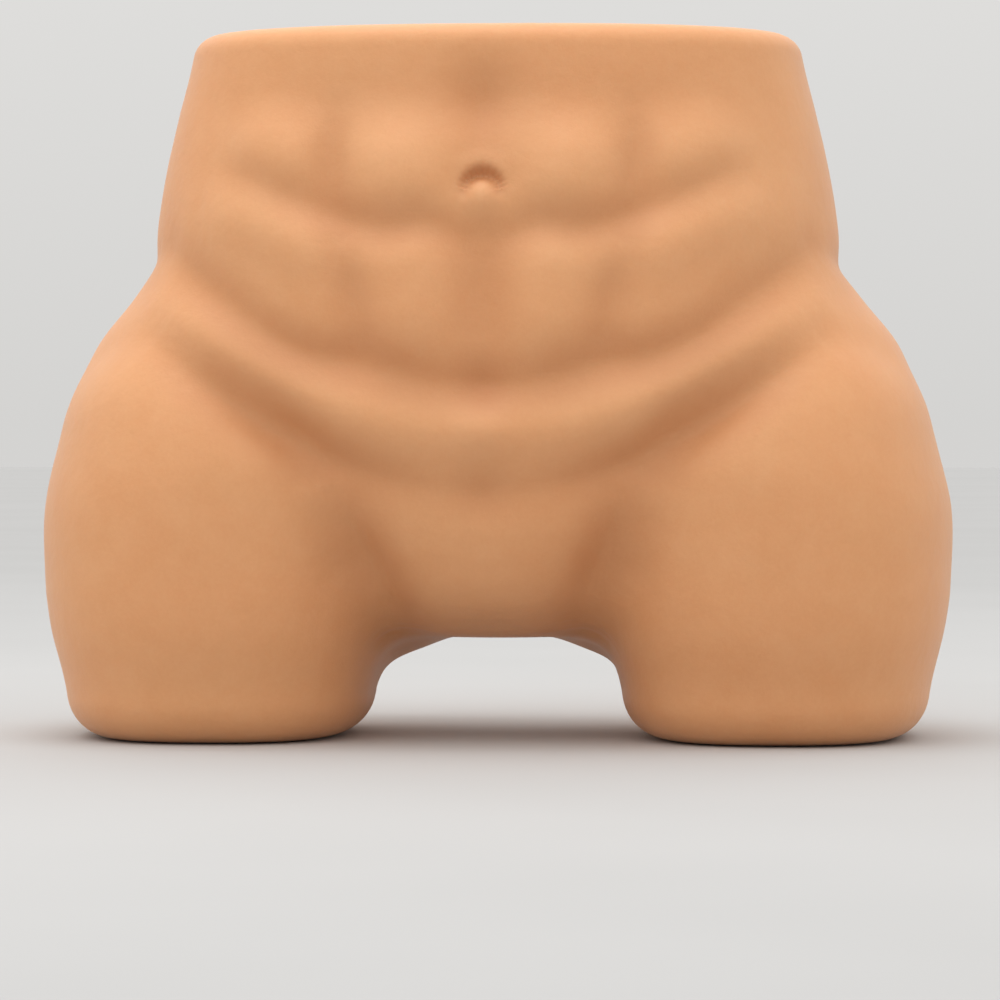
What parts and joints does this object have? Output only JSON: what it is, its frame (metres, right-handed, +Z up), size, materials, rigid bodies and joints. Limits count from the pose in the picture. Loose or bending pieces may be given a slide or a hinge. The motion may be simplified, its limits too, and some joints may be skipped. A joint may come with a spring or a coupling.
{
  "type": "lower torso mannequin",
  "caption": "Lower-torso mannequin from the waist to the upper thighs: soft cast skin over a foam core and a welded steel frame, standing on flat thigh bases.",
  "frame": {"origin": "on the floor, midway between the two thigh bases and midway between belly and buttocks", "axes": "+Z up towards the waist cut, +X to the mannequin's own left, -Y out of its belly"},
  "size_m": [0.3992, 0.2296, 0.308],
  "materials": {
    "skin_elastomer": "satin",
    "cap_elastomer": "satin",
    "core_foam": "matte",
    "frame_steel": "satin",
    "plate_steel": "satin",
    "screw_steel": "polished",
    "plug_plastic": "matte"
  },
  "bodies": {
    "torso": {"skin": "skin_elastomer", "waist_cap": "cap_elastomer", "thigh_base_left": "cap_elastomer", "thigh_base_right": "cap_elastomer", "core_front": "core_foam", "core_back": "core_foam", "spine_tube": "frame_steel", "spine_flange": "frame_steel", "spine_gussets": "frame_steel", "waist_plate": "plate_steel", "waist_screws": "screw_steel", "pelvis_bar": "frame_steel", "bar_plug_left": "plug_plastic", "bar_plug_right": "plug_plastic", "thigh_post_left": "frame_steel", "thigh_post_right": "frame_steel", "foot_flange_left": "frame_steel", "foot_flange_right": "frame_steel", "thigh_plate_left": "plate_steel", "thigh_plate_right": "plate_steel", "thigh_screws_left": "screw_steel", "thigh_screws_right": "screw_steel"}
  },
  "joints": []
}
